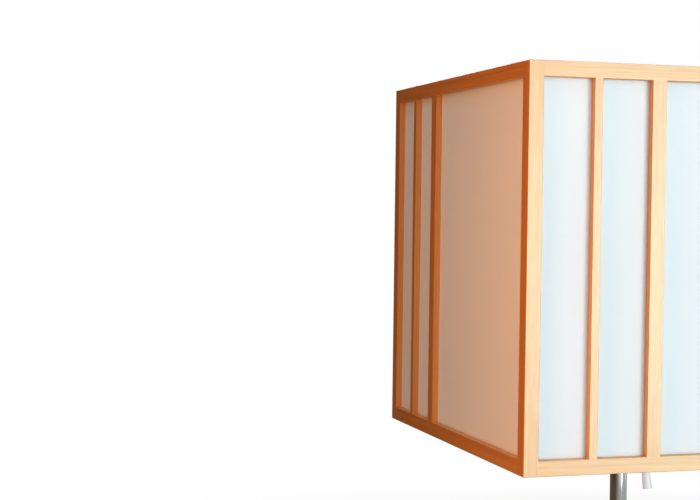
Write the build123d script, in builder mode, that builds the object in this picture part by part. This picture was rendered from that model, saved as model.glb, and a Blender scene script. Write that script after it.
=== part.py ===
from build123d import *
import os
from math import cos, hypot, radians, sin, tan

os.makedirs("parts", exist_ok=True)

# A table lamp with a square, box-shaped shade of wood and white panels. Millimetres.
# The origin is on the table, on the lamp's axis. The front face looks along -Y.

# Shade frame
shade_width = 408.0
shade_height = 400.0
shade_lift = 230.0          # from the table to the underside of the shade
member = 15.5               # face and depth of a post or rail
arris = 0.5                 # eased edge on posts, rails and bars
panel_recess = 7.0          # from the front of the frame to the panel
panel_thick = 2.0
panel_play = 0.5            # room for the panel to move in its grooves
groove_depth = 4.0
tenon_thick = 5.0
tenon_inset = 3.0           # wood left above or below a rail's tenon
narrow_bar = 9.0
wide_bar = 15.5
bar_gap = 53.0              # clear width between post and bar, and between the two bars
bar_tenon_thick = 3.0
bar_tenon_long = 3.5
bar_shoulder = 1.0

# Base
base_radius = 110.0
base_height = 20.0
base_rounding = 4.0
cover_wall = 1.2
pad_thick = 2.0
pad_margin = 1.0
weight_thick = 12.0
weight_room = 2.0           # between the weight and the cord inlet
recess_room = 6.0           # around the washer
recess_depth = 6.0
cord_slot = 12.0
inlet_height = 9.5
inlet_flange_radius = 6.0
inlet_flange_thick = 2.2
inlet_body_radius = 4.6
inlet_body_long = 5.0
inlet_bore_radius = 3.2

# Pole and lamp pipe
fit = 0.1                   # radial room between a shaft or thread and its hole
pole_radius = 9.5
pole_wall = 1.2
pipe_radius = 5.0
pipe_wall = 1.5
pipe_end = 1.0              # pipe that stands past the lower nut
neck_flare = 8.5            # foot of the neck beyond the pole
neck_height = 12.0
neck_rim = 3.0
neck_lip = 3.0              # wall of the neck around the pole
neck_floor = 4.0
cap_flare = 10.5            # rim of the cap beyond the pole
washer_radius = 14.0
washer_thick = 1.6
nut_wall = 3.5              # from the thread to a flat
nut_thick = 4.0
hub_nut_thick = 5.0

# Shade carrier and its screws
plate_thick = 2.0
plate_rise = 1.0            # carrier's underside above the underside of the shade
hub_margin = 3.5            # disc beyond the switch cover
arm_width = 14.0
bend_radius = 1.0
screw_radius = 1.75
screw_length = 12.0
screw_head_radius = 3.2
screw_head_thick = 2.0
pilot_extra = 0.5

# Switch and its cover
switch_offset = 33.0        # from the lamp's axis to the pull cord
switch_length = 22.0
switch_width = 18.0
switch_height = 18.0
switch_rounding = 1.5
switch_cell_floor = 4.0
switch_cell_roof = 1.5
bushing_radius = 4.75
bushing_long = 10.0
bushing_mouth = 1.2
ring_nut_wall = 1.75
ring_nut_thick = 3.0
cover_room = 2.6            # between the switch's corners and the cover
cover_head = 10.0           # cover above the switch
cover_rounding = 9.0
shell_wall = 1.0

# Pull cord and knob
cord_radius = 0.9
cord_room = 0.4             # around the cord in the bushing
cord_play = 0.3             # around the cord in the knob
knot_radius = 1.9
knot_room = 1.3             # around the knot in its cell
knot_rise = 8.0             # knot's centre above the floor of the switch cell
cord_drop = 31.5            # from the carrier down to where the cord turns into the knob
cord_lean = 7.0             # degrees
cord_above_knob = 4.0
cord_in_knob = 7.0
knob_length = 24.0
knob_top_radius = 4.0
knob_foot_radius = 5.2
knob_neck = 8.0
knob_wall = 1.1
knob_shoulder = 1.6         # rounding at the top of the knob
knob_rounding = 0.5         # at its foot

# Lamp holder and bulb
spacer_wall = 2.0
spacer_long = 30.0
holder_neck_wall = 4.0
holder_neck_height = 4.0
holder_cone_height = 8.0
holder_rim_height = 8.0
holder_cap_wall = 1.2
holder_cap_floor = 5.4
spigot_long = 6.0
spigot_wall = 3.7
porcelain_wall = 5.7        # around the screw shell
porcelain_floor = 6.0
porcelain_height = 34.0
porcelain_rounding = 2.0
shell_radius = 14.2
shell_thick = 0.5
shell_height = 22.0
shell_eye = 6.0
contact_radius = 3.0
contact_foot_radius = 5.0
contact_foot_thick = 1.0
contact_height = 6.0
bulb_length = 110.0
bulb_radius = 30.0
bulb_play = 0.5             # between the bulb's cap and the screw shell
bulb_cap_height = 25.0
bulb_step = 1.0             # neck beyond the cap
bulb_tip_radius = 4.5
bulb_flare = 35.0           # degrees below the globe's middle where the neck runs into it

# Heights and half widths that follow from those sizes
half = shade_width / 2
inside = half - member
shade_top = shade_lift + shade_height
opening_low = shade_lift + member
opening_high = shade_top - member
groove_low = opening_low - groove_depth
groove_high = opening_high + groove_depth
panel_front = half - panel_recess
panel_back = panel_front - panel_thick
panel_middle = (panel_front + panel_back) / 2
tenon_outer = panel_middle + tenon_thick / 2
tenon_inner = panel_middle - tenon_thick / 2
bar_tenon_middle = half - panel_recess / 2
rail_middle = shade_lift + member / 2
carrier_low = shade_lift + plate_rise
carrier_high = carrier_low + plate_thick
pipe_hole = pipe_radius + fit
seat = pole_radius + fit
neck_radius = pole_radius + neck_flare
cap_radius = pole_radius + cap_flare
nut_across = 2 * (pipe_radius + nut_wall)
weight_radius = base_radius - inlet_body_long - weight_room
weight_high = base_height - cover_wall
weight_low = weight_high - weight_thick
washer_low = weight_low + recess_depth - washer_thick
nut_low = washer_low - nut_thick
pole_foot = base_height + neck_floor
pole_head = carrier_low - neck_floor
cover_radius = hypot(switch_offset + switch_length / 2, switch_width / 2) + shell_wall + cover_room
cover_height = switch_height + cover_head
cover_high = carrier_high + cover_height
holder_radius = shell_radius + fit + porcelain_wall
holder_low = cover_high + spacer_long
holder_rim = holder_low + holder_neck_height + holder_cone_height + holder_rim_height
porcelain_low = holder_rim + shell_wall
cup_floor = porcelain_low + porcelain_floor
bulb_low = cup_floor + contact_height

# The four faces, counted from the front: each is the front face turned about the lamp's axis
faces = {"front": 0, "right": 90, "back": 180, "left": 270}
corners = {"front_left": 0, "front_right": 90, "back_right": 180, "back_left": 270}


def save(piece, name):
    piece.part.label = name
    export_step(piece.part, f"parts/{name}.step")


def save_turned(master, stem, turns):
    for place, angle in turns.items():
        with BuildPart() as piece:
            add(master.part, rotation=(0, 0, angle))
        save(piece, f"{stem}_{place}")


# Corner post. Square stock. Its outer edges are eased, and its inner ones only between the rails,
# so that the joints close flush. Each of its two inner sides has a stopped groove for a panel and,
# at both ends, a mortise. The two mortises meet at the post's diagonal.
with BuildPart() as corner_post:
    with BuildSketch(Plane.XY.offset(shade_lift)):
        with Locations((member / 2 - half, member / 2 - half)):
            Rectangle(member, member)
    extrude(amount=shade_height)
    outer_edges = corner_post.edges().filter_by(
        lambda edge: edge.center().X + edge.center().Y < -half - inside - arris
    )
    chamfer(outer_edges, arris)
    with BuildSketch(Plane.XY.offset(opening_low)):
        with Locations((-inside, -half), (-half, -inside), (-inside, -inside)):
            RegularPolygon(arris, 4)
    extrude(amount=opening_high - opening_low, mode=Mode.SUBTRACT)
    with BuildSketch(Plane.XY.offset(groove_low)):
        with Locations((-inside - groove_depth / 2, -panel_middle)):
            Rectangle(groove_depth, panel_thick)
        with Locations((-panel_middle, -inside - groove_depth / 2)):
            Rectangle(panel_thick, groove_depth)
    extrude(amount=groove_high - groove_low, mode=Mode.SUBTRACT)
    mortise_long = tenon_outer - inside
    mortise_high = member - groove_depth - tenon_inset
    for mortise_low in (shade_lift + tenon_inset, groove_high):
        with BuildSketch(Plane.XY.offset(mortise_low)):
            with Locations((-inside - mortise_long / 2, -panel_middle)):
                Rectangle(mortise_long, tenon_thick)
            with Locations((-panel_middle, -inside - mortise_long / 2)):
                Rectangle(tenon_thick, mortise_long)
        extrude(amount=mortise_high, mode=Mode.SUBTRACT)
save_turned(corner_post, "corner_post", corners)

# Where the two bars of a face stand, as (width, middle)
bars = {
    "narrow_bar": (narrow_bar, -inside + bar_gap + narrow_bar / 2),
    "wide_bar": (wide_bar, -inside + 2 * bar_gap + narrow_bar + wide_bar / 2),
}


# Where a rail's front edge on the opening is eased, as (start, end): not where a bar stands flush
bar_ends = [middle + side * width / 2 for width, middle in bars.values() for side in (-1, 1)]
eased = list(zip([-inside, bar_ends[1], bar_ends[3]], [bar_ends[0], bar_ends[2], inside]))


def make_rail(low, opening_edge, tenon_low, groove_start, mortise_start):
    """A rail with a mitred tenon at each end, a panel groove and two mortises for the bars."""
    with BuildPart() as rail:
        with BuildSketch(Plane.YZ.offset(-inside)) as rail_section:
            with Locations((member / 2 - half, low + member / 2)):
                Rectangle(member, member)
            chamfer(rail_section.vertices().sort_by_distance((-half, opening_edge))[1:], arris)
        extrude(amount=2 * inside)
        for start, end in eased:
            with BuildSketch(Plane.YZ.offset(start)):
                with Locations((-half, opening_edge)):
                    RegularPolygon(arris, 4)
            extrude(amount=end - start, mode=Mode.SUBTRACT)
        with BuildSketch(Plane.XY.offset(tenon_low)):
            with BuildLine():
                Polyline(
                    (-inside, -tenon_outer),
                    (-tenon_outer, -tenon_outer),
                    (-tenon_inner, -tenon_inner),
                    (-inside, -tenon_inner),
                    close=True,
                )
            make_face()
            mirror(about=Plane.YZ)
        extrude(amount=mortise_high)
        with BuildSketch(Plane.XY.offset(groove_start)):
            with Locations((0, -panel_middle)):
                Rectangle(2 * inside, panel_thick)
        extrude(amount=groove_depth, mode=Mode.SUBTRACT)
        with BuildSketch(Plane.XY.offset(mortise_start)):
            for width, middle in bars.values():
                with Locations((middle, -bar_tenon_middle)):
                    Rectangle(width - 2 * bar_shoulder, bar_tenon_thick)
        extrude(amount=bar_tenon_long, mode=Mode.SUBTRACT)
    return rail


# Top rail. Its panel groove and bar mortises open downward.
top_rail = make_rail(opening_high, opening_high, groove_high, opening_high, opening_high)
save_turned(top_rail, "top_rail", faces)

# Bottom rail. The same the other way up, with a pilot hole for the carrier's screw in its inner
# side.
rail_blank = make_rail(
    shade_lift, opening_low, shade_lift + tenon_inset, groove_low, opening_low - bar_tenon_long
)
with BuildPart() as bottom_rail:
    add(rail_blank.part)
    with BuildSketch(Plane.XZ.offset(inside)):
        with Locations((0, rail_middle)):
            Circle(screw_radius + fit)
    extrude(amount=screw_length - plate_thick + pilot_extra, mode=Mode.SUBTRACT)
save_turned(bottom_rail, "bottom_rail", faces)

# Bars. They stand in front of the panel, flush with the frame, with a stub tenon at each end.
for bar_name, (width, middle) in bars.items():
    with BuildPart() as bar:
        with BuildSketch(Plane.XY.offset(opening_low)) as bar_section:
            with Locations((middle, -bar_tenon_middle)):
                Rectangle(width, panel_recess)
            chamfer(bar_section.vertices().group_by(Axis.Y)[0], arris)
        extrude(amount=opening_high - opening_low)
        with BuildSketch(Plane.XY.offset(opening_low - bar_tenon_long)):
            with Locations((middle, -bar_tenon_middle)):
                Rectangle(width - 2 * bar_shoulder, bar_tenon_thick)
        extrude(amount=opening_high - opening_low + 2 * bar_tenon_long)
    save_turned(bar, bar_name, faces)

# Panel. One white sheet to a face. It stands on the bottom rail's groove, with play at its sides
# and top.
with BuildPart() as panel:
    with BuildSketch(Plane.XY.offset(groove_low)):
        with Locations((0, -panel_middle)):
            Rectangle(2 * (inside + groove_depth - panel_play), panel_thick)
    extrude(amount=groove_high - groove_low - panel_play)
save_turned(panel, "panel", faces)

# Base pad. A felt disc under the rim of the base cover.
with BuildPart() as base_pad:
    with BuildSketch():
        Circle(base_radius - pad_margin)
    extrude(amount=pad_thick)
save(base_pad, "base_pad")

# Base cover. A deep-drawn pan, turned over, with a hole for the pipe and one for the cord inlet.
inlet_plane = Plane(origin=(0, base_radius, inlet_height), x_dir=(1, 0, 0), z_dir=(0, 1, 0))
with BuildPart() as base_cover:
    with BuildSketch(Plane.XY.offset(pad_thick)):
        Circle(base_radius)
    extrude(amount=base_height - pad_thick)
    fillet(base_cover.faces().sort_by(Axis.Z)[-1].edges(), base_rounding)
    offset(amount=-cover_wall, openings=base_cover.faces().sort_by(Axis.Z)[0])
    with BuildSketch(Plane.XY.offset(base_height)):
        Circle(pipe_hole)
    extrude(amount=-2 * cover_wall, mode=Mode.SUBTRACT)
    with BuildSketch(inlet_plane):
        Circle(inlet_body_radius + fit)
    extrude(amount=-2 * cover_wall, mode=Mode.SUBTRACT)
save(base_cover, "base_cover")

# Base weight. A cast disc under the cover's top, with a recess for the nut and a slot that leads
# the cord out to its inlet.
with BuildPart() as base_weight:
    with BuildSketch(Plane.XY.offset(weight_low)):
        Circle(weight_radius)
        Circle(pipe_hole, mode=Mode.SUBTRACT)
    extrude(amount=weight_thick)
    with BuildSketch(Plane.XY.offset(weight_low)):
        Circle(washer_radius + recess_room)
        with Locations((0, weight_radius / 2)):
            Rectangle(cord_slot, weight_radius)
    extrude(amount=recess_depth, mode=Mode.SUBTRACT)
    chamfer(base_weight.faces().sort_by(Axis.Z)[-1].edges().sort_by(SortBy.LENGTH)[-1], cover_wall)
save(base_weight, "base_weight")

# Cord inlet. A flanged bushing, pushed into the hole in the cover's wall.
with BuildPart() as cord_inlet:
    with BuildSketch(inlet_plane):
        Circle(inlet_flange_radius)
    extrude(amount=inlet_flange_thick)
    fillet(cord_inlet.faces().sort_by(Axis.Y)[-1].edges(), inlet_flange_thick / 2)
    with BuildSketch(inlet_plane):
        Circle(inlet_body_radius)
    extrude(amount=-inlet_body_long)
    with BuildSketch(inlet_plane.offset(inlet_flange_thick)):
        Circle(inlet_bore_radius)
    extrude(amount=-inlet_flange_thick - inlet_body_long, mode=Mode.SUBTRACT)
save(cord_inlet, "cord_inlet")

# Pole neck. A turned ring on the base, with a cove outside and a seat for the pole inside.
with BuildPart() as pole_neck:
    with BuildSketch(Plane.XZ):
        with BuildLine():
            Polyline(
                (seat, base_height + neck_height),
                (seat, pole_foot),
                (pipe_hole, pole_foot),
                (pipe_hole, base_height),
                (neck_radius, base_height),
                (neck_radius, base_height + neck_rim),
            )
            RadiusArc(
                (neck_radius, base_height + neck_rim),
                (seat + neck_lip, base_height + neck_height),
                neck_height,
            )
            Line((seat + neck_lip, base_height + neck_height), (seat, base_height + neck_height))
        make_face()
    revolve(axis=Axis.Z)
save(pole_neck, "pole_neck")

# Pole cap. The like ring at the top of the pole, wide enough to carry the shade carrier.
with BuildPart() as pole_cap:
    with BuildSketch(Plane.XZ):
        with BuildLine():
            Polyline(
                (seat + neck_lip, carrier_low - neck_height),
                (seat, carrier_low - neck_height),
                (seat, pole_head),
                (pipe_hole, pole_head),
                (pipe_hole, carrier_low),
                (cap_radius, carrier_low),
                (cap_radius, carrier_low - neck_rim),
            )
            RadiusArc(
                (cap_radius, carrier_low - neck_rim),
                (seat + neck_lip, carrier_low - neck_height),
                -neck_height,
            )
        make_face()
    revolve(axis=Axis.Z)
save(pole_cap, "pole_cap")

# Pole. A plain tube between neck and cap.
with BuildPart() as pole:
    with BuildSketch(Plane.XY.offset(pole_foot)):
        Circle(pole_radius)
        Circle(pole_radius - pole_wall, mode=Mode.SUBTRACT)
    extrude(amount=pole_head - pole_foot)
save(pole, "pole")

# Lamp pipe. A threaded tube through base, pole and carrier, up into the cap of the lamp holder.
pipe_low = nut_low - pipe_end
pipe_high = holder_low + holder_cap_floor
with BuildPart() as lamp_pipe:
    with BuildSketch(Plane.XY.offset(pipe_low)):
        Circle(pipe_radius)
        Circle(pipe_radius - pipe_wall, mode=Mode.SUBTRACT)
    extrude(amount=pipe_high - pipe_low)
save(lamp_pipe, "lamp_pipe")

# Washer and hexagon nuts. The lower nut draws the pipe down, and the hub nut holds the carrier.
with BuildPart() as pipe_washer:
    with BuildSketch(Plane.XY.offset(washer_low)):
        Circle(washer_radius)
        Circle(pipe_hole, mode=Mode.SUBTRACT)
    extrude(amount=washer_thick)
save(pipe_washer, "pipe_washer")

for nut_name, low, thick in (("pipe_nut", nut_low, nut_thick), ("hub_nut", carrier_high, hub_nut_thick)):
    with BuildPart() as nut:
        with BuildSketch(Plane.XY.offset(low)):
            RegularPolygon(nut_across / 2, 6, major_radius=False)
            Circle(pipe_hole, mode=Mode.SUBTRACT)
        extrude(amount=thick)
    save(nut, nut_name)

# Shade carrier. A pressed steel disc with four arms, each bent up into a tab on a bottom rail.
with BuildPart() as shade_carrier:
    with BuildSketch(Plane.XY.offset(carrier_low)):
        Circle(cover_radius + hub_margin)
        Rectangle(2 * inside, arm_width)
        Rectangle(arm_width, 2 * inside)
    extrude(amount=plate_thick)
    with BuildSketch(Plane.XY.offset(carrier_high)):
        with PolarLocations(inside - plate_thick / 2, 4):
            Rectangle(plate_thick, arm_width)
    extrude(amount=opening_low - carrier_high)
    outer_bends = shade_carrier.edges().group_by(Axis.Z)[0].filter_by(GeomType.LINE).filter_by(
        lambda edge: abs(edge.length - arm_width) < fit
    )
    fillet(outer_bends, bend_radius + plate_thick)
    inner_bends = shade_carrier.edges().filter_by(GeomType.LINE).filter_by(
        lambda edge: abs(edge.center().Z - carrier_high) < fit
        and abs(edge.length - arm_width) < fit
    )
    fillet(inner_bends, bend_radius)
    with BuildSketch(Plane.XY.offset(carrier_low)):
        Circle(pipe_hole)
        with Locations((switch_offset, 0)):
            Circle(bushing_radius + fit)
    extrude(amount=plate_thick, mode=Mode.SUBTRACT)
    for screw_plane in (Plane.XZ, Plane.YZ):
        with BuildSketch(screw_plane):
            with Locations((0, rail_middle)):
                Circle(screw_radius + fit)
        extrude(amount=inside, both=True, mode=Mode.SUBTRACT)
save(shade_carrier, "shade_carrier")

# Carrier screws. One pan-headed wood screw through each tab into the rail behind it.
with BuildPart() as carrier_screw:
    with BuildSketch(Plane.YZ) as screw_outline:
        with BuildLine():
            tab_face = inside - plate_thick
            Polyline(
                (-tab_face, rail_middle),
                (-tab_face + screw_head_thick, rail_middle),
                (-tab_face + screw_head_thick, rail_middle + screw_head_radius / 2),
            )
            RadiusArc(
                (-tab_face + screw_head_thick, rail_middle + screw_head_radius / 2),
                (-tab_face, rail_middle + screw_head_radius),
                -screw_head_radius,
            )
            Polyline(
                (-tab_face, rail_middle + screw_head_radius),
                (-tab_face, rail_middle + screw_radius),
                (-tab_face - screw_length + 2 * screw_radius, rail_middle + screw_radius),
                (-tab_face - screw_length, rail_middle),
                (-tab_face, rail_middle),
            )
        make_face()
    revolve(axis=Axis((0, 0, rail_middle), (0, 1, 0)))
with BuildPart() as carrier_screws:
    for angle in faces.values():
        add(carrier_screw.part, rotation=(0, 0, angle))
save(carrier_screws, "carrier_screws")

# Pull switch. A moulded body on the carrier's disc. The cell inside leaves room for the knot of
# the cord, and the floor under it holds the bushing.
switch_plane = Plane.XY.offset(carrier_high)
with BuildPart() as pull_switch:
    with BuildSketch(switch_plane):
        with Locations((switch_offset, 0)):
            Rectangle(switch_length, switch_width)
    extrude(amount=switch_height)
    fillet(pull_switch.edges().group_by(Axis.Z)[-1], switch_rounding)
    with BuildSketch(switch_plane):
        with Locations((switch_offset, 0)):
            Circle(bushing_radius + fit)
    extrude(amount=switch_cell_floor, mode=Mode.SUBTRACT)
    with BuildSketch(switch_plane.offset(switch_cell_floor)):
        with Locations((switch_offset, 0)):
            Circle(knot_radius + knot_room)
    extrude(amount=switch_height - switch_cell_floor - switch_cell_roof, mode=Mode.SUBTRACT)
save(pull_switch, "pull_switch")

# Switch bushing. A threaded tube moulded into the switch, which comes out under the carrier. Its
# mouth is flared so that the cord doesn't chafe.
with BuildPart() as switch_bushing:
    with BuildSketch(switch_plane.offset(switch_cell_floor)):
        with Locations((switch_offset, 0)):
            Circle(bushing_radius)
            Circle(cord_radius + cord_room, mode=Mode.SUBTRACT)
    extrude(amount=-switch_cell_floor - plate_thick - bushing_long)
    mouth = switch_bushing.faces().sort_by(Axis.Z)[0].edges().sort_by(SortBy.RADIUS)[0]
    chamfer(mouth, bushing_mouth)
save(switch_bushing, "switch_bushing")

# Switch nut, on the bushing under the carrier's disc
with BuildPart() as switch_nut:
    with BuildSketch(Plane.XY.offset(carrier_low)):
        with Locations((switch_offset, 0)):
            RegularPolygon(bushing_radius + ring_nut_wall, 6, major_radius=False)
            Circle(bushing_radius + fit, mode=Mode.SUBTRACT)
    extrude(amount=-ring_nut_thick)
save(switch_nut, "switch_nut")

# Switch cover. A spun cup over the switch, held down by the spacer tube on the pipe.
with BuildPart() as switch_cover:
    with BuildSketch(Plane.XY.offset(carrier_high)):
        Circle(cover_radius)
    extrude(amount=cover_height)
    fillet(switch_cover.faces().sort_by(Axis.Z)[-1].edges(), cover_rounding)
    offset(amount=-shell_wall, openings=switch_cover.faces().sort_by(Axis.Z)[0])
    with BuildSketch(Plane.XY.offset(cover_high)):
        Circle(pipe_hole)
    extrude(amount=-2 * shell_wall, mode=Mode.SUBTRACT)
save(switch_cover, "switch_cover")

# Spacer tube, between the switch cover and the lamp holder
with BuildPart() as spacer_tube:
    with BuildSketch(Plane.XY.offset(cover_high)):
        Circle(pipe_radius + spacer_wall)
        Circle(pipe_hole, mode=Mode.SUBTRACT)
    extrude(amount=spacer_long)
save(spacer_tube, "spacer_tube")

# Lamp holder cap. A flared cup, screwed on the end of the pipe.
cone_low = holder_low + holder_neck_height
cone_high = cone_low + holder_cone_height
holder_neck_radius = pipe_radius + holder_neck_wall
with BuildPart() as holder_cap:
    with BuildSketch(Plane.XZ):
        with BuildLine():
            Polyline(
                (pipe_hole, holder_low),
                (holder_neck_radius, holder_low),
                (holder_neck_radius, cone_low),
                (holder_radius, cone_high),
                (holder_radius, holder_rim),
                (holder_radius - holder_cap_wall, holder_rim),
                (holder_radius - holder_cap_wall, cone_high + holder_cap_wall / 2),
                (holder_neck_radius, holder_low + holder_cap_floor),
                (pipe_hole, holder_low + holder_cap_floor),
                close=True,
            )
        make_face()
    revolve(axis=Axis.Z)
save(holder_cap, "holder_cap")

# Lamp holder body. Porcelain, with a spigot in the cap and a cup for the screw shell.
porcelain_high = porcelain_low + porcelain_height
spigot_radius = holder_radius - holder_cap_wall - fit
cup_radius = shell_radius + fit
with BuildPart() as holder_body:
    with BuildSketch(Plane.XZ):
        with BuildLine():
            Polyline(
                (0, porcelain_low),
                (spigot_radius - spigot_wall, porcelain_low),
                (spigot_radius - spigot_wall, holder_rim - spigot_long),
                (spigot_radius, holder_rim - spigot_long),
                (spigot_radius, holder_rim),
                (holder_radius, holder_rim),
                (holder_radius, porcelain_high),
                (cup_radius, porcelain_high),
                (cup_radius, cup_floor),
                (0, cup_floor),
                close=True,
            )
        make_face()
    revolve(axis=Axis.Z)
    fillet(holder_body.faces().sort_by(Axis.Z)[-1].edges(), porcelain_rounding)
save(holder_body, "holder_body")

# Screw shell. Thin brass, open at the floor around the contact.
with BuildPart() as screw_shell:
    with BuildSketch(Plane.XY.offset(cup_floor)):
        Circle(shell_radius)
    extrude(amount=shell_height)
    offset(amount=-shell_thick, openings=screw_shell.faces().sort_by(Axis.Z)[-1])
    with BuildSketch(Plane.XY.offset(cup_floor)):
        Circle(shell_eye)
    extrude(amount=shell_thick, mode=Mode.SUBTRACT)
save(screw_shell, "screw_shell")

# Contact. A riveted stud under the tip of the bulb.
with BuildPart() as holder_contact:
    with BuildSketch(Plane.XY.offset(cup_floor)):
        Circle(contact_foot_radius)
    extrude(amount=contact_foot_thick)
    with BuildSketch(Plane.XY.offset(cup_floor)):
        Circle(contact_radius)
    extrude(amount=contact_height)
    chamfer(holder_contact.faces().sort_by(Axis.Z)[-1].edges(), contact_foot_thick)
save(holder_contact, "holder_contact")

# Bulb. One sealed piece: a stepped cap, a neck and a globe that the neck runs into at a tangent.
globe_middle = bulb_low + bulb_length - bulb_radius
flare_sin = sin(radians(bulb_flare))
flare_cos = cos(radians(bulb_flare))
flare_point = (bulb_radius * flare_cos, globe_middle - bulb_radius * flare_sin)
bulb_cap_radius = shell_radius - shell_thick - bulb_play
bulb_neck_radius = bulb_cap_radius + bulb_step
cap_high = bulb_low + bulb_cap_height
with BuildPart() as bulb:
    with BuildSketch(Plane.XZ):
        with BuildLine():
            Polyline(
                (0, bulb_low + bulb_length),
                (0, bulb_low),
                (bulb_tip_radius, bulb_low),
                (bulb_cap_radius, bulb_low + contact_height),
                (bulb_cap_radius, cap_high),
                (bulb_neck_radius, cap_high),
            )
            Spline(
                (bulb_neck_radius, cap_high),
                flare_point,
                tangents=((0, 1), (flare_sin, flare_cos)),
            )
            CenterArc((0, globe_middle), bulb_radius, -bulb_flare, 90 + bulb_flare)
        make_face()
    revolve(axis=Axis.Z)
save(bulb, "bulb")

# Pull cord. It hangs from its knot in the switch, straight down through the bushing, and turns
# a little as it enters the knob, which hangs askew.
lean = radians(cord_lean)
hang = Vector(sin(lean), 0, -cos(lean))
cord_bend = Vector(switch_offset, 0, carrier_low - cord_drop)
knob_top = cord_bend + hang * cord_above_knob
cord_end = knob_top + hang * cord_in_knob
knot_middle = Vector(switch_offset, 0, carrier_high + switch_cell_floor + knot_rise)
lower_run = cord_above_knob + cord_in_knob
bend_arc = 0.45 * lower_run / tan(lean / 2)
print("pull cord bend radius", round(bend_arc, 1))
with BuildPart() as pull_cord:
    with BuildLine() as cord_line:
        FilletPolyline(knot_middle, cord_bend, cord_end, radius=bend_arc)
    with BuildSketch(Plane(origin=knot_middle, x_dir=(1, 0, 0), z_dir=(0, 0, -1))):
        Circle(cord_radius)
    sweep(path=cord_line.wire())
    knot_plane = Plane(origin=knot_middle, x_dir=(1, 0, 0), z_dir=(0, -1, 0))
    with BuildSketch(knot_plane):
        with BuildLine():
            ThreePointArc((0, -knot_radius), (knot_radius, 0), (0, knot_radius))
            Line((0, knot_radius), (0, -knot_radius))
        make_face()
    revolve(axis=Axis(knot_middle, (0, 0, 1)))
save(pull_cord, "pull_cord")

# Pull knob. A slim moulded bell with a round shoulder, bored for the cord and hollow below the bore.
knob_bore_radius = cord_radius + cord_play
knob_plane = Plane(origin=knob_top, x_dir=(cos(lean), 0, sin(lean)), z_dir=(0, -1, 0))
with BuildPart() as pull_knob:
    with BuildSketch(knob_plane) as knob_outline:
        with BuildLine():
            Polyline(
                (knob_bore_radius, -knob_neck),
                (knob_bore_radius, 0),
                (knob_top_radius, 0),
                (knob_foot_radius, -knob_length),
                (knob_foot_radius - knob_wall, -knob_length),
                close=True,
            )
        make_face()
        corners_out = knob_outline.vertices()
        fillet(corners_out.sort_by_distance((knob_top_radius, 0))[0], knob_shoulder)
        fillet(corners_out.sort_by_distance((knob_foot_radius, -knob_length))[0], knob_rounding)
    revolve(axis=Axis(knob_top, hang * -1))
save(pull_knob, "pull_knob")
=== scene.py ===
from math import cos, radians, sin

import bpy
from mathutils import Matrix, Vector


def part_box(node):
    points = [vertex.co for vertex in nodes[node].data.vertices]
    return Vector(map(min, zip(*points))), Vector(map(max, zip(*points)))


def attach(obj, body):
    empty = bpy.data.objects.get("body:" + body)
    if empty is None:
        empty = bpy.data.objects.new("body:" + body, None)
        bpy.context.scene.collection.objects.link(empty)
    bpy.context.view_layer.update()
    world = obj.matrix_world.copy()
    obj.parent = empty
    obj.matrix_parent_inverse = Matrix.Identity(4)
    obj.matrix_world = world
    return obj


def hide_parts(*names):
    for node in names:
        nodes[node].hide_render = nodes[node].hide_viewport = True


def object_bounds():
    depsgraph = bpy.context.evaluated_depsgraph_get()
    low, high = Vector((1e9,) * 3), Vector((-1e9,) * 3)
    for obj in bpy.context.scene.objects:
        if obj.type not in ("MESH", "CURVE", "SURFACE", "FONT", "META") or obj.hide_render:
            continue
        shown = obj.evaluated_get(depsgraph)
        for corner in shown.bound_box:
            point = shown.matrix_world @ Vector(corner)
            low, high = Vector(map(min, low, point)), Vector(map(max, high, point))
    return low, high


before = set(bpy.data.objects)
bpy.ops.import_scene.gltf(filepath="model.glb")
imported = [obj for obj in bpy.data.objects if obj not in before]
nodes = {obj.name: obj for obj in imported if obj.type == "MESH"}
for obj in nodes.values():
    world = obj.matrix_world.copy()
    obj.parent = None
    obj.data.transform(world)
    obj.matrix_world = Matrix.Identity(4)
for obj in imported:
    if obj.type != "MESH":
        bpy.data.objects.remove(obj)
part_low, part_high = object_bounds()
MM = 0.001

# Base pad
# A disc of dark wool felt, cut with a punch and glued under the rim of the base, so that the lamp
# doesn't mark the table. Its fibres lie in every direction.


class Recipe:
    """The nodes of a finish or of the room's light, with short ways to add to them."""

    def __init__(self, tree):
        self.tree = tree

    def node(self, kind, **settings):
        made = self.tree.nodes.new(kind)
        for key, value in settings.items():
            setattr(made, key, value)
        return made

    def link(self, start, end):
        self.tree.links.new(start, end)

    def ramp(self, source, stops):
        """A blend of colours over the values of a texture, as (value, colour) pairs."""
        made = self.node("ShaderNodeValToRGB")
        elements = made.color_ramp.elements
        while len(elements) < len(stops):
            elements.new(0.5)
        for element, (value, colour) in zip(elements, stops):
            element.position = value
            element.color = (*colour, 1)
        self.link(source, made.inputs["Fac"])
        return made.outputs["Color"]

    def spread(self, source, low, high, start=0.3, end=0.7):
        """The values between start and end spread from low to high, for a roughness or a share."""
        made = self.node("ShaderNodeMapRange")
        for key, value in (("From Min", start), ("From Max", end), ("To Min", low), ("To Max", high)):
            made.inputs[key].default_value = value
        self.link(source, made.inputs["Value"])
        return made.outputs["Result"]


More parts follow.
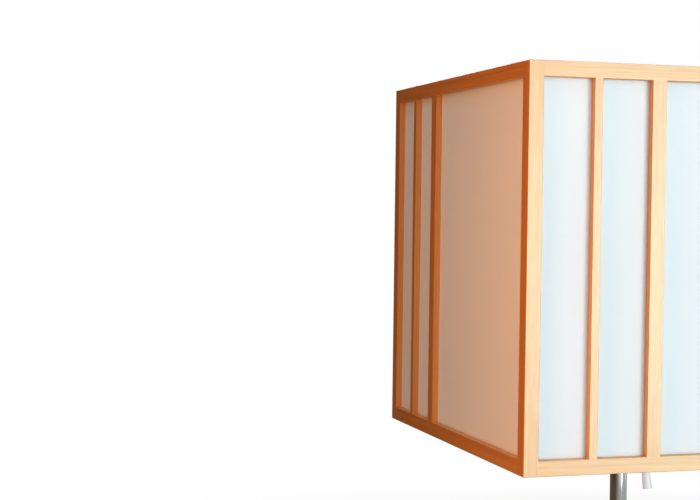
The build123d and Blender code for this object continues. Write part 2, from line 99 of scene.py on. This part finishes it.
class Finish(Recipe):
    """A material with its shader, and the textures that make its surface."""

    def __init__(self, name, colour, roughness, metallic=0.0):
        self.material = bpy.data.materials.new(name)
        self.material.use_nodes = True
        super().__init__(self.material.node_tree)
        self.shader = self.tree.nodes["Principled BSDF"]
        self.adjust("Base Color", (*colour, 1))
        self.adjust("Roughness", roughness)
        self.adjust("Metallic", metallic)
        self.material.diffuse_color = (*colour, 1)
        self.place = self.node("ShaderNodeTexCoord").outputs["Object"]

    def adjust(self, socket, value):
        self.shader.inputs[socket].default_value = value

    def vary(self, socket, source):
        self.link(source, self.shader.inputs[socket])

    def stretched(self, scale, shift=(0, 0, 0)):
        """The object's own coordinates, moved and scaled for one texture."""
        mapping = self.node("ShaderNodeMapping")
        mapping.inputs["Location"].default_value = shift
        mapping.inputs["Scale"].default_value = scale
        self.link(self.place, mapping.inputs["Vector"])
        return mapping.outputs["Vector"]

    def noise(self, vector, detail=3.0, rough=0.5, distortion=0.0):
        made = self.node("ShaderNodeTexNoise")
        made.inputs["Scale"].default_value = 1.0
        made.inputs["Detail"].default_value = detail
        made.inputs["Roughness"].default_value = rough
        made.inputs["Distortion"].default_value = distortion
        self.link(vector, made.inputs["Vector"])
        return made.outputs["Fac"]

    def speckle(self, grains, **settings):
        """Noise with the same number of grains to the metre in every direction."""
        return self.noise(self.stretched((grains, grains, grains)), **settings)

    def sum(self, first, second, share=0.5):
        made = self.node("ShaderNodeMix", data_type="FLOAT")
        made.inputs["Factor"].default_value = share
        self.link(first, made.inputs["A"])
        self.link(second, made.inputs["B"])
        return made.outputs["Result"]

    def relief(self, source, depth, strength=1.0):
        """Bump of a given depth in metres."""
        made = self.node("ShaderNodeBump")
        made.inputs["Strength"].default_value = strength
        made.inputs["Distance"].default_value = depth
        self.link(source, made.inputs["Height"])
        self.link(made.outputs["Normal"], self.shader.inputs["Normal"])


def dress(finish, *names):
    """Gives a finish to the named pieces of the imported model."""
    for name in names:
        slots = nodes[name].data.materials
        slots.clear()
        slots.append(finish.material)


felt = Finish("dark_felt", (0.035, 0.040, 0.038), 0.95)
fibres = felt.speckle(900, detail=5, rough=0.7, distortion=1.2)
felt.vary("Base Color", felt.ramp(fibres, [(0.30, (0.020, 0.024, 0.022)), (0.72, (0.065, 0.072, 0.068))]))
felt.relief(fibres, 0.4 * MM)
felt.adjust("Sheen Weight", 0.25)
dress(felt, "base_pad")

# Base weight
# A disc of grey iron, cast in sand and dipped in black paint, held up inside the base cover by the
# nut on the lower end of the pipe. It shows the sand's grain.
iron = Finish("dipped_iron", (0.035, 0.035, 0.038), 0.62, metallic=0.25)
sand = iron.speckle(420, detail=6, rough=0.65)
iron.vary("Base Color", iron.ramp(sand, [(0.35, (0.022, 0.022, 0.024)), (0.68, (0.060, 0.059, 0.058))]))
iron.vary("Roughness", iron.spread(sand, 0.5, 0.78))
iron.relief(sand, 0.25 * MM)
dress(iron, "base_weight")

# Pipe, nuts, washer and wood screws
# Plain steel hardware with a thin zinc plating. The pipe runs from the nut under the weight up to
# the lamp holder, and draws everything together.
zinc = Finish("zinc_plate", (0.60, 0.61, 0.62), 0.34, metallic=1.0)
crystals = zinc.speckle(700, detail=2)
zinc.vary("Base Color", zinc.ramp(crystals, [(0.3, (0.50, 0.50, 0.49)), (0.7, (0.66, 0.67, 0.69))]))
zinc.vary("Roughness", zinc.spread(crystals, 0.26, 0.44))
zinc.relief(crystals, 0.03 * MM)
dress(zinc, "lamp_pipe", "pipe_nut", "pipe_washer", "hub_nut", "carrier_screws")

# Cord inlet and pull switch
# Two black mouldings: the flanged bushing in the base's wall, and the switch body on the carrier.
# Both have the faint grain of an etched mould.
moulding = Finish("black_moulding", (0.022, 0.022, 0.023), 0.42)
etch = moulding.speckle(2400, detail=2)
moulding_tones = [(0.3, (0.017, 0.017, 0.018)), (0.7, (0.030, 0.030, 0.031))]
moulding.vary("Base Color", moulding.ramp(etch, moulding_tones))
moulding.vary("Roughness", moulding.spread(etch, 0.36, 0.50))
moulding.relief(etch, 0.02 * MM)
dress(moulding, "cord_inlet", "pull_switch")

# Base cover, pole and the other bright metal
# Steel pressings, tubes and turned rings, polished and then plated with chrome. Handling leaves
# the plating a little hazy in patches.
plating = Finish("polished_chrome", (0.61, 0.62, 0.63), 0.06, metallic=1.0)
haze = plating.speckle(26, detail=6, rough=0.62)
plating.vary("Base Color", plating.ramp(haze, [(0.35, (0.58, 0.59, 0.60)), (0.65, (0.635, 0.64, 0.645))]))
plating.vary("Roughness", plating.spread(haze, 0.035, 0.11))
dress(plating, "base_cover", "pole_neck", "pole", "pole_cap")
dress(plating, "switch_cover", "spacer_tube", "holder_cap")

# Shade carrier
# A cross pressed from steel sheet, with its arms' ends bent up, and coated with white powder that
# flows out to a faint orange peel.
coating = Finish("white_powder_coat", (0.83, 0.83, 0.81), 0.38)
peel = coating.speckle(380, detail=1)
coating.vary("Base Color", coating.ramp(peel, [(0.3, (0.80, 0.80, 0.78)), (0.7, (0.85, 0.85, 0.83))]))
coating.vary("Roughness", coating.spread(peel, 0.33, 0.43))
coating.relief(peel, 0.06 * MM)
dress(coating, "shade_carrier")

# Switch bushing and nut, screw shell and contact
# Turned and pressed brass, left bright, that has dulled a little in the air. The bushing and its nut
# hold the switch on the carrier, and the shell and the contact sit in the porcelain.
brass = Finish("bright_brass", (0.66, 0.47, 0.18), 0.24, metallic=1.0)
dulling = brass.speckle(160, detail=5, rough=0.6)
brass.vary("Base Color", brass.ramp(dulling, [(0.32, (0.52, 0.35, 0.13)), (0.66, (0.74, 0.55, 0.24))]))
brass.vary("Roughness", brass.spread(dulling, 0.17, 0.36))
dress(brass, "switch_bushing", "switch_nut", "screw_shell", "holder_contact")

# Lamp holder body
# The insulator that the bulb's shell sits in: pressed porcelain with a clear glaze, held in the
# metal cap on the end of the pipe.
glaze = Finish("white_porcelain", (0.84, 0.82, 0.76), 0.16)
pooling = glaze.speckle(70)
glaze.vary("Base Color", glaze.ramp(pooling, [(0.3, (0.81, 0.79, 0.73)), (0.7, (0.86, 0.845, 0.80))]))
glaze.vary("Roughness", glaze.spread(pooling, 0.10, 0.22))
glaze.adjust("Coat Weight", 0.6)
glaze.adjust("Coat Roughness", 0.05)
dress(glaze, "holder_body")

# Bulb
# One sealed piece, screwed into the holder: an opal globe, cemented into a plated screw cap with
# a dark insulator and a tinned tip.
opal_glass = (0.88, 0.88, 0.86)
cap_metal = (0.66, 0.66, 0.65)
insulator = (0.02, 0.02, 0.02)
tip_metal = (0.55, 0.55, 0.54)
bulb_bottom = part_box("bulb")[0].z
bulb_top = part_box("bulb")[1].z
bulb_long = bulb_top - bulb_bottom
tip_end = 1 * MM / bulb_long
insulator_end = 6 * MM / bulb_long
cap_end = 25 * MM / bulb_long
opal = Finish("opal_bulb", opal_glass, 0.22)
upward = opal.node("ShaderNodeSeparateXYZ")
opal.link(opal.place, upward.inputs["Vector"])
along_bulb = opal.spread(upward.outputs["Z"], 0, 1, bulb_bottom, bulb_top)
plain, bare_metal = (0, 0, 0), (1, 1, 1)
band_colours = [(0.0, tip_metal), (tip_end, insulator), (insulator_end, cap_metal), (cap_end, opal_glass)]
band_metals = [(0.0, bare_metal), (tip_end, plain), (insulator_end, bare_metal), (cap_end, plain)]
for socket, stops in (("Base Color", band_colours), ("Metallic", band_metals)):
    bands = opal.ramp(along_bulb, stops)
    bands.node.color_ramp.interpolation = "CONSTANT"
    opal.vary(socket, bands)
opal.vary("Roughness", opal.spread(opal.speckle(300), 0.20, 0.32))
dress(opal, "bulb")

# Shade frame
# Posts, rails and bars of straight-grained light wood, planed square, eased along the edges and
# wiped with a clear satin lacquer. Each stick is cut from another part of the board.
late_wood = (0.530, 0.200, 0.044)
middle_wood = (0.625, 0.262, 0.065)
early_wood = (0.700, 0.320, 0.088)


def along_grain(axis, across, along):
    """Texture scales for one stick: fine across it, and drawn out along the named axis."""
    return tuple(along if letter == axis else across for letter in "xyz")


def toned(colour, tone, warm):
    """A wood colour for one stick: a little lighter or darker, and a little warmer or cooler."""
    red, green, blue = colour
    return (red * tone, green * tone, blue * warm * tone)


def wood(name, axis, number):
    """The lacquered wood of one stick. Its grain runs along the named axis."""
    tone = 1 + 0.03 * sin(2.4 * number)
    warm = 1 + 0.03 * cos(1.7 * number)
    shift = (0.31 * number, 0.17 * number, 0.23 * number)
    made = Finish(name, middle_wood, 0.34)
    pores = made.noise(made.stretched(along_grain(axis, 1600, 45), shift), rough=0.6)
    ring_place = made.stretched(along_grain(axis, 300, 4), shift)
    rings = made.noise(ring_place, detail=4, rough=0.55, distortion=0.3)
    board = made.noise(made.stretched(along_grain(axis, 30, 2), shift), detail=2)
    figure = made.sum(made.sum(rings, board, 0.35), pores, 0.28)
    late, middle, early = (toned(colour, tone, warm) for colour in (late_wood, middle_wood, early_wood))
    made.vary("Base Color", made.ramp(figure, [(0.36, late), (0.50, middle), (0.64, early)]))
    made.vary("Roughness", made.spread(pores, 0.40, 0.30))
    made.relief(made.sum(pores, rings, 0.4), 0.05 * MM, 0.6)
    made.adjust("Specular IOR Level", 1.0)
    made.adjust("Specular Tint", (0.90, 1.0, 0.76, 1))
    made.adjust("IOR", 1.6)
    return made


corners = ("front_left", "front_right", "back_right", "back_left")
sticks = [(f"corner_post_{corner}", "z") for corner in corners]
for face, along_rail in (("front", "x"), ("right", "y"), ("back", "x"), ("left", "y")):
    sticks += [(f"top_rail_{face}", along_rail), (f"bottom_rail_{face}", along_rail)]
    sticks += [(f"narrow_bar_{face}", "z"), (f"wide_bar_{face}", "z")]
for number, (stick, along_stick) in enumerate(sticks):
    dress(wood(f"wood_{stick}", along_stick, number), stick)

# Panels
# Sheets of white acrylic with short paper fibres cast into them, cut to size and slid into the
# grooves of the frame. Their faces have a soft satin gloss.
milk = Finish("white_acrylic", (0.805, 0.912, 0.97), 0.43)
upright = milk.noise(milk.stretched((620, 620, 70)), detail=4, rough=0.6, distortion=1.6)
level = milk.noise(milk.stretched((60, 60, 560), (0.4, 0.2, 0.7)), detail=4, rough=0.6, distortion=1.6)
pulp = milk.sum(upright, level)
milk.vary("Base Color", milk.ramp(pulp, [(0.30, (0.792, 0.90, 0.96)), (0.70, (0.818, 0.923, 0.979))]))
milk.vary("Roughness", milk.spread(pulp, 0.42, 0.44))
milk.adjust("Specular IOR Level", 0.05)
milk.adjust("Subsurface Weight", 1.0)
milk.adjust("Subsurface Radius", (1.0, 1.0, 1.0))
milk.adjust("Subsurface Scale", 4 * MM)
dress(milk, "panel_front", "panel_right", "panel_back", "panel_left")

# Pull cord
# A thin braided cord, limp, with its knot held in the switch. The knob's weight keeps it straight
# as far as the knob, where it turns a little because the knob hangs askew.
CORD_RADIUS = 0.9 * MM
CORD_LEAN = radians(7)
switch_axis = sum((corner.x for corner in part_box("switch_bushing"))) / 2
knot_height = 245 * MM
bend_height = 199.5 * MM
cord_run = 11 * MM
route = [
    Vector((switch_axis, 0, knot_height)),
    Vector((switch_axis, 0, bend_height + cord_run)),
    Vector((switch_axis, 0, bend_height)),
    Vector((switch_axis + cord_run * sin(CORD_LEAN), 0, bend_height - cord_run * cos(CORD_LEAN))),
]
line = bpy.data.curves.new("pull_cord_line", "CURVE")
line.dimensions = "3D"
line.bevel_depth = CORD_RADIUS
line.bevel_resolution = 4
line.use_fill_caps = True
spline = line.splines.new("NURBS")
spline.points.add(len(route) - 1)
for point, place in zip(spline.points, route):
    point.co = (*place, 1)
spline.order_u = 3
spline.use_endpoint_u = True
spline.resolution_u = 12
cord = bpy.data.objects.new("pull_cord_braid", line)
bpy.context.scene.collection.objects.link(cord)
braid = Finish("white_braid", (0.80, 0.79, 0.74), 0.8)
wave = braid.node("ShaderNodeTexWave", wave_type="BANDS", bands_direction="DIAGONAL")
wave.inputs["Scale"].default_value = 420
wave.inputs["Distortion"].default_value = 0.6
braid.link(braid.place, wave.inputs["Vector"])
strands = wave.outputs["Fac"]
braid.vary("Base Color", braid.ramp(strands, [(0.2, (0.62, 0.61, 0.56)), (0.7, (0.84, 0.83, 0.79))]))
braid.relief(strands, 0.15 * MM)
line.materials.append(braid.material)
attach(cord, "pull")
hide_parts("pull_cord")

# Pull knob
# A slender bell, moulded in white plastic and threaded on the cord over a knot. Its surface is
# smooth and bright.
knob = Finish("white_knob", (0.81, 0.825, 0.81), 0.27)
flow = knob.noise(knob.stretched((240, 240, 90)), detail=2)
knob.vary("Base Color", knob.ramp(flow, [(0.3, (0.80, 0.815, 0.80)), (0.7, (0.82, 0.835, 0.82))]))
knob.vary("Roughness", knob.spread(flow, 0.22, 0.32))
dress(knob, "pull_knob")

# Floor
# A pale matt sheet under the lamp that turns to plain white away from it. What it gives back to the
# lamp is painted light: dark and warm on the shaded side as painted shade, cool on the window's side.
floor_half = 1.0
window_way = (0.80, -0.60, 0.0)
floor_corners = [(x * floor_half, y * floor_half, 0) for x, y in ((-1, -1), (1, -1), (1, 1), (-1, 1))]
sheet = bpy.data.meshes.new("floor_sheet")
sheet.from_pydata(floor_corners, [], [(0, 1, 2, 3)])
floor = bpy.data.objects.new("floor", sheet)
bpy.context.scene.collection.objects.link(floor)


def toward(recipe, way, place):
    """How far a place or a look lies the given way."""
    made = recipe.node("ShaderNodeVectorMath", operation="DOT_PRODUCT")
    made.inputs[1].default_value = way
    recipe.link(place, made.inputs[0])
    return made.outputs["Value"]


def worked(recipe, operation, first, second):
    """Two numbers made into one: added, multiplied, or the larger of the two."""
    made = recipe.node("ShaderNodeMath", operation=operation)
    recipe.link(first, made.inputs[0])
    recipe.link(second, made.inputs[1])
    return made.outputs["Value"]


def blended(recipe, share, first, second):
    """Two shaders, with the second taking the given share."""
    made = recipe.node("ShaderNodeMixShader")
    recipe.link(share, made.inputs["Fac"])
    recipe.link(first, made.inputs[1])
    recipe.link(second, made.inputs[2])
    return made.outputs["Shader"]


pale = Finish("pale_floor", (0.80, 0.80, 0.79), 0.7)
pale.vary("Base Color", pale.ramp(pale.speckle(3), [(0.3, (0.78, 0.78, 0.77)), (0.7, (0.81, 0.81, 0.80))]))
rays = pale.node("ShaderNodeLightPath").outputs
far = pale.node("ShaderNodeVectorMath", operation="LENGTH")
pale.link(pale.place, far.inputs[0])
fade = pale.spread(far.outputs["Value"], 0, 1, 0.30, 0.95)
glow = pale.node("ShaderNodeEmission").outputs["Emission"]
seen_share = worked(pale, "MULTIPLY", rays["Is Camera Ray"], fade)
seen = blended(pale, seen_share, pale.shader.outputs["BSDF"], glow)
across = pale.spread(toward(pale, window_way, pale.place), 0, 1, -0.5, 0.5)
# Painted shade and painted reflection: for bounced and mirrored rays the floor is dark and warm away from
# the window, pale and cool toward it.
painted_bounce_light = pale.ramp(across, [(0.1, (0.22, 0.12, 0.07)), (0.8, (0.58, 0.62, 0.66))])
painted_mirrored_light = pale.ramp(across, [(0.1, (0.22, 0.13, 0.08)), (0.8, (0.66, 0.70, 0.64))])
FIRST_COLOUR, SECOND_COLOUR, MIXED_COLOUR = 6, 7, 2
tinted = pale.node("ShaderNodeMix", data_type="RGBA")
pale.link(rays["Is Glossy Ray"], tinted.inputs["Factor"])
pale.link(painted_bounce_light, tinted.inputs[FIRST_COLOUR])
pale.link(painted_mirrored_light, tinted.inputs[SECOND_COLOUR])
given_back = pale.node("ShaderNodeBsdfDiffuse")
pale.link(tinted.outputs[MIXED_COLOUR], given_back.inputs["Color"])
unseen_share = worked(pale, "MAXIMUM", rays["Is Diffuse Ray"], rays["Is Glossy Ray"])
whole_floor = blended(pale, unseen_share, seen, given_back.outputs["BSDF"])
pale.link(whole_floor, pale.tree.nodes["Material Output"].inputs["Surface"])
sheet.materials.append(pale.material)

# Room
# The light from all round: cool and bright on the window's side, warm and dark on the other, and
# weaker from the back right. The lens itself sees plain white, and so do bright reflections.
world = bpy.data.worlds.new("room")
world.use_nodes = True
bpy.context.scene.world = world
room = Recipe(world.node_tree)
outward = room.node("ShaderNodeTexCoord").outputs["Generated"]
rise = room.node("ShaderNodeSeparateXYZ")
room.link(outward, rise.inputs["Vector"])
beside = room.spread(toward(room, window_way, outward), 0, 1, -1, 1)
overhead = room.spread(rise.outputs["Z"], 0, 0.25, 0.12, 0.70)
lifted = worked(room, "ADD", beside, overhead)
dome = room.ramp(lifted, [
    (0.0, (0.08, 0.032, 0.014)),
    (0.25, (0.16, 0.075, 0.035)),
    (0.48, (0.50, 0.365, 0.26)),
    (0.66, (0.78, 0.83, 0.87)),
    (1.0, (0.85, 0.91, 0.93)),
])
back_right_way = (0.60, 0.80, 0.0)
room_light = room.tree.nodes["Background"]
room.link(dome, room_light.inputs["Color"])
strength = room.spread(toward(room, back_right_way, outward), 0.72, 0.32, -0.3, 1)
room.link(strength, room_light.inputs["Strength"])
white = room.node("ShaderNodeBackground")
white.inputs["Color"].default_value = (1, 1, 1, 1)
paths = room.node("ShaderNodeLightPath").outputs
bright_half = room.spread(lifted, 0, 1, 0.50, 0.70)
mirrored = worked(room, "MULTIPLY", paths["Is Glossy Ray"], bright_half)
straight = worked(room, "MAXIMUM", paths["Is Camera Ray"], paths["Is Transmission Ray"])
white_share = worked(room, "MAXIMUM", straight, mirrored)
whole_room = blended(room, white_share, room_light.outputs["Background"], white.outputs["Background"])
room.link(whole_room, room.tree.nodes["World Output"].inputs["Surface"])

# Lamps of the studio
# A broad window light from the front right, weaker ones from behind and above, a slim warm one
# beside the near corner, which the floor doesn't take, and a small one that reaches only the pull
# knob and its cord. All of them are aimed at the middle of the shade.
shade_middle = Vector((0, 0, (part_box("bottom_rail_front")[0].z + part_high.z) / 2))


def area_light(name, place, size, power, colour):
    lamp = bpy.data.lights.new(name, "AREA")
    lamp.shape = "RECTANGLE"
    lamp.size, lamp.size_y = size
    lamp.energy = power
    lamp.color = colour
    holder = bpy.data.objects.new(name, lamp)
    holder.location = place
    holder.rotation_euler = (shade_middle - Vector(place)).to_track_quat("-Z", "Y").to_euler()
    holder.visible_camera = False
    bpy.context.scene.collection.objects.link(holder)
    return holder


area_light("window", (1.25, -2.6, 0.35), (1.4, 1.4), 51, (0.81, 0.92, 1.0))
area_light("back_window", (0.5, 2.8, 1.0), (1.2, 1.8), 38, (0.98, 0.99, 1.0))
area_light("ceiling", (0.6, 0.0, 3.0), (1.6, 2.6), 14, (1.0, 0.99, 0.98))
warm_side = area_light("warm_side", (-0.60, -0.34, 0.44), (0.12, 0.8), 2.0, (1.0, 0.38, 0.13))
warm_side.visible_glossy = False
unwarmed = bpy.data.collections.new("pieces_without_warm_light")
unwarmed.objects.link(floor)
unwarmed.collection_objects[0].light_linking.link_state = "EXCLUDE"
warm_side.light_linking.receiver_collection = unwarmed
knob_fill = area_light("knob_fill", (-0.80, -0.60, 0.12), (0.4, 0.4), 4.3, (0.90, 1.0, 0.93))
knob_fill.visible_glossy = False
filled = bpy.data.collections.new("pieces_with_knob_fill")
filled.objects.link(nodes["pull_knob"])
filled.objects.link(cord)
knob_fill.light_linking.receiver_collection = filled

# Camera
# It stands in front of the lamp and to its left, a little above the middle of the shade. It looks
# past the near corner's left side, so that the shade stands at the right edge of the picture.
camera_data = bpy.data.cameras.new("camera")
camera_data.sensor_width = 36
camera_data.lens = 75.26
camera_place = (-0.7581, -1.4956, 0.4861)
turned_right = radians(16.33)
tipped_down = radians(1.63)
rolled = radians(0.70)
camera = bpy.data.objects.new("camera", camera_data)
camera.matrix_world = (
    Matrix.Translation(camera_place)
    @ Matrix.Rotation(-turned_right, 4, "Z")
    @ Matrix.Rotation(radians(90) - tipped_down, 4, "X")
    @ Matrix.Rotation(rolled, 4, "Z")
)
bpy.context.scene.collection.objects.link(camera)
bpy.context.scene.camera = camera
bpy.context.scene.view_settings.view_transform = "Standard"
